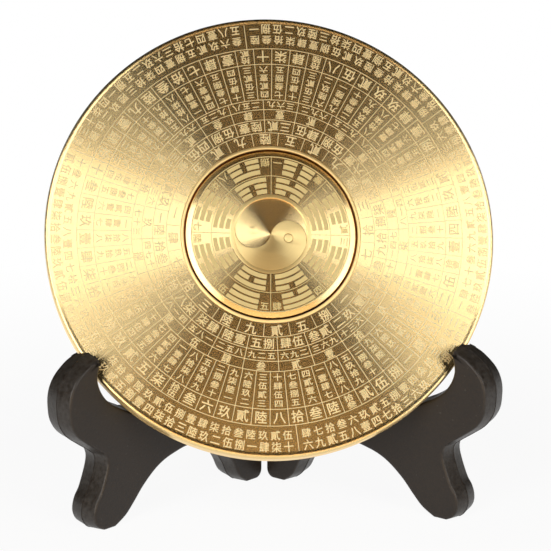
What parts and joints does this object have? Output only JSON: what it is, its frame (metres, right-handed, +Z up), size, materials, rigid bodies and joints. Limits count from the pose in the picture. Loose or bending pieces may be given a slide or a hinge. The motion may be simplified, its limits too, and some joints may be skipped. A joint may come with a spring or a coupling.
{
  "type": "feng shui compass on a folding stand",
  "caption": "Round brass feng shui compass plate with ringed scales and a spinning centre dial, leaning in a black folding stand of two hooked boards.",
  "frame": {"origin": "middle of the footprint, on the surface that the stand rests on", "axes": "+Z up, -Y towards the front, where the engraved face looks out and up, +X to the right of someone who faces the compass"},
  "size_m": [0.1502, 0.0722, 0.1613],
  "materials": {
    "engraved_brass": "concentrically turned bright brass with matte etched lines and figures",
    "turned_brass": "fine turned brass",
    "turned_steel": "turned",
    "bearing_steel": "ground",
    "cage_steel": "pressed",
    "screw_steel": "dark plated",
    "pin_steel": "plated",
    "black_plastic": "moulded black plastic with a fine satin skin"
  },
  "bodies": {
    "stand_hinge": {"hinge_pin": "pin_steel", "pin_cap": "pin_steel"},
    "left_board": {"left_board": "black_plastic"},
    "right_board": {"right_board": "black_plastic"},
    "compass_plate": {"dial_plate": "engraved_brass", "bearing_outer_ring": "bearing_steel", "bearing_cover": "turned_brass", "cover_screw_1": "screw_steel", "cover_screw_2": "screw_steel", "cover_screw_3": "screw_steel"},
    "dial": {"centre_dial": "engraved_brass", "dial_spindle": "turned_steel", "bearing_inner_ring": "bearing_steel", "dial_screw": "screw_steel"},
    "ball_cage": {"bearing_cage": "cage_steel", "bearing_ball_1": "bearing_steel", "bearing_ball_2": "bearing_steel", "bearing_ball_3": "bearing_steel", "bearing_ball_4": "bearing_steel", "bearing_ball_5": "bearing_steel", "bearing_ball_6": "bearing_steel", "bearing_ball_7": "bearing_steel", "bearing_ball_8": "bearing_steel"}
  },
  "joints": [
    {"name": "compass_lift", "type": "slide", "parent": "stand_hinge", "child": "compass_plate", "axis": [0, 0, 1], "range_m": [0, 0.1]},
    {"name": "left_fold", "type": "hinge", "parent": "stand_hinge", "child": "left_board", "pos_m": [0, 0.02082, 0], "axis": [0, 0, 1], "range_deg": [0, 49.5]},
    {"name": "right_fold", "type": "hinge", "parent": "stand_hinge", "child": "right_board", "pos_m": [0, 0.02082, 0], "axis": [0, 0, -1], "range_deg": [0, 49.5]},
    {"name": "dial_spin", "type": "hinge", "parent": "compass_plate", "child": "dial", "pos_m": [0, -0.00305, 0.0938], "axis": [0, -0.9009, 0.434], "continuous": true},
    {"name": "cage_orbit", "type": "hinge", "parent": "compass_plate", "child": "ball_cage", "pos_m": [0, -0.00305, 0.0938], "axis": [0, -0.9009, 0.434], "continuous": true}
  ],
  "couplings": [
    {"joint": "left_fold", "follows": "compass_lift", "rad_per_m": 8.639},
    {"joint": "right_fold", "follows": "compass_lift", "rad_per_m": 8.639},
    {"joint": "cage_orbit", "follows": "dial_spin", "ratio": 0.41111}
  ]
}
